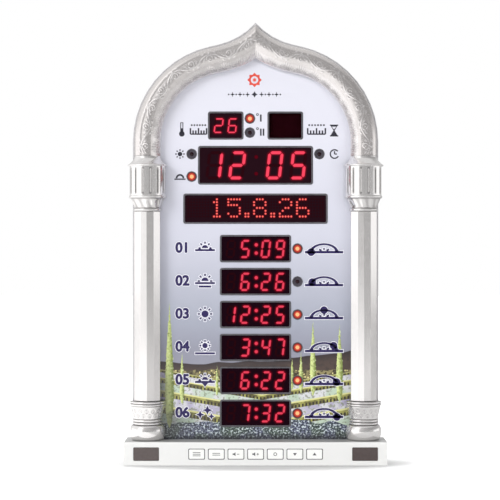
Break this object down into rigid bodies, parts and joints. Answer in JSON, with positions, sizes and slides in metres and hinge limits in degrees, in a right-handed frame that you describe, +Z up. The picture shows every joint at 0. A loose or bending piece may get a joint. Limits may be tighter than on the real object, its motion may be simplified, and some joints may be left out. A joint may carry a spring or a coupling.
{
  "type": "digital prayer time clock",
  "caption": "Arched digital prayer-time wall and table clock with lit displays, indicator lamps, engaged columns and a keyed base.",
  "frame": {"origin": "middle of the footprint, on the surface that the clock stands on", "axes": "+Z up, -Y out of the face towards the viewer, +X to the viewer's right"},
  "size_m": [0.353, 0.062, 0.598],
  "materials": {
    "silver_satin": "satin silver lacquer with engraved relief",
    "silver_plate": "bright plated plastic",
    "silver_paint": "satin silver paint",
    "pearl": "off-white, half gloss",
    "case_grey": "fine moulded grain",
    "printed_face": "printed from behind, glossy",
    "mask_grey": "dark grey, half gloss",
    "red_smoke": "dark red transparent acrylic",
    "module_black": "black face with red segments",
    "board_green": "solder mask",
    "lamp_red": "tinted epoxy lens",
    "key_white": "printed key tops",
    "smoked_window": "smoked brown acrylic",
    "speaker_black": "paper cone and stamped basket",
    "steel": "plated steel",
    "jack_black": "moulded"
  },
  "bodies": {
    "clock": {"base_housing": "pearl", "front_frame": "silver_paint", "rear_cover": "case_grey", "arch_moulding": "silver_satin", "pedestal_left": "silver_plate", "column_shaft_left": "silver_satin", "capital_left": "silver_plate", "pedestal_right": "silver_plate", "column_shaft_right": "silver_satin", "capital_right": "silver_plate", "front_panel": "printed_face", "display_mask": "mask_grey", "main_board": "board_green", "temperature_digits": "module_black", "temperature_filter": "red_smoke", "countdown_digits": "module_black", "countdown_filter": "red_smoke", "time_digits": "module_black", "time_filter": "red_smoke", "message_matrix": "module_black", "message_filter": "red_smoke", "row_1_digits": "module_black", "row_2_digits": "module_black", "row_3_digits": "module_black", "row_4_digits": "module_black", "row_5_digits": "module_black", "row_6_digits": "module_black", "rows_filter": "red_smoke", "lamp_celsius": "lamp_red", "lamp_fahrenheit": "lamp_red", "lamp_am": "lamp_red", "lamp_pm": "lamp_red", "lamp_summer_time": "lamp_red", "lamp_row_1": "lamp_red", "lamp_row_2": "lamp_red", "lamp_row_3": "lamp_red", "lamp_row_4": "lamp_red", "lamp_row_5": "lamp_red", "lamp_row_6": "lamp_red", "key_board": "board_green", "remote_window": "smoked_window", "light_window": "smoked_window", "speaker": "speaker_black", "cell_holder": "jack_black", "backup_cell": "steel", "power_inlet": "jack_black", "cover_screw_1": "steel", "cover_screw_2": "steel", "cover_screw_3": "steel", "cover_screw_4": "steel", "cover_screw_5": "steel", "cover_screw_6": "steel"},
    "mode_key": {"key_mode": "key_white"},
    "alarm_key": {"key_alarm": "key_white"},
    "volume_down_key": {"key_volume_down": "key_white"},
    "volume_up_key": {"key_volume_up": "key_white"},
    "set_key": {"key_set": "key_white"},
    "down_key": {"key_down": "key_white"},
    "up_key": {"key_up": "key_white"},
    "battery_cover": {"battery_door": "case_grey"}
  },
  "joints": [
    {"name": "mode_key_press", "type": "slide", "parent": "clock", "child": "mode_key", "axis": [0, 1, 0], "range_m": [0, 0.0008], "stiffness_N_per_m": 400, "springref_m": -0.001},
    {"name": "alarm_key_press", "type": "slide", "parent": "clock", "child": "alarm_key", "axis": [0, 1, 0], "range_m": [0, 0.0008], "stiffness_N_per_m": 400, "springref_m": -0.001},
    {"name": "volume_down_key_press", "type": "slide", "parent": "clock", "child": "volume_down_key", "axis": [0, 1, 0], "range_m": [0, 0.0008], "stiffness_N_per_m": 400, "springref_m": -0.001},
    {"name": "volume_up_key_press", "type": "slide", "parent": "clock", "child": "volume_up_key", "axis": [0, 1, 0], "range_m": [0, 0.0008], "stiffness_N_per_m": 400, "springref_m": -0.001},
    {"name": "set_key_press", "type": "slide", "parent": "clock", "child": "set_key", "axis": [0, 1, 0], "range_m": [0, 0.0008], "stiffness_N_per_m": 400, "springref_m": -0.001},
    {"name": "down_key_press", "type": "slide", "parent": "clock", "child": "down_key", "axis": [0, 1, 0], "range_m": [0, 0.0008], "stiffness_N_per_m": 400, "springref_m": -0.001},
    {"name": "up_key_press", "type": "slide", "parent": "clock", "child": "up_key", "axis": [0, 1, 0], "range_m": [0, 0.0008], "stiffness_N_per_m": 400, "springref_m": -0.001},
    {"name": "battery_door_pull", "type": "slide", "parent": "clock", "child": "battery_cover", "axis": [0, 1, 0], "range_m": [0, 0.018]}
  ]
}
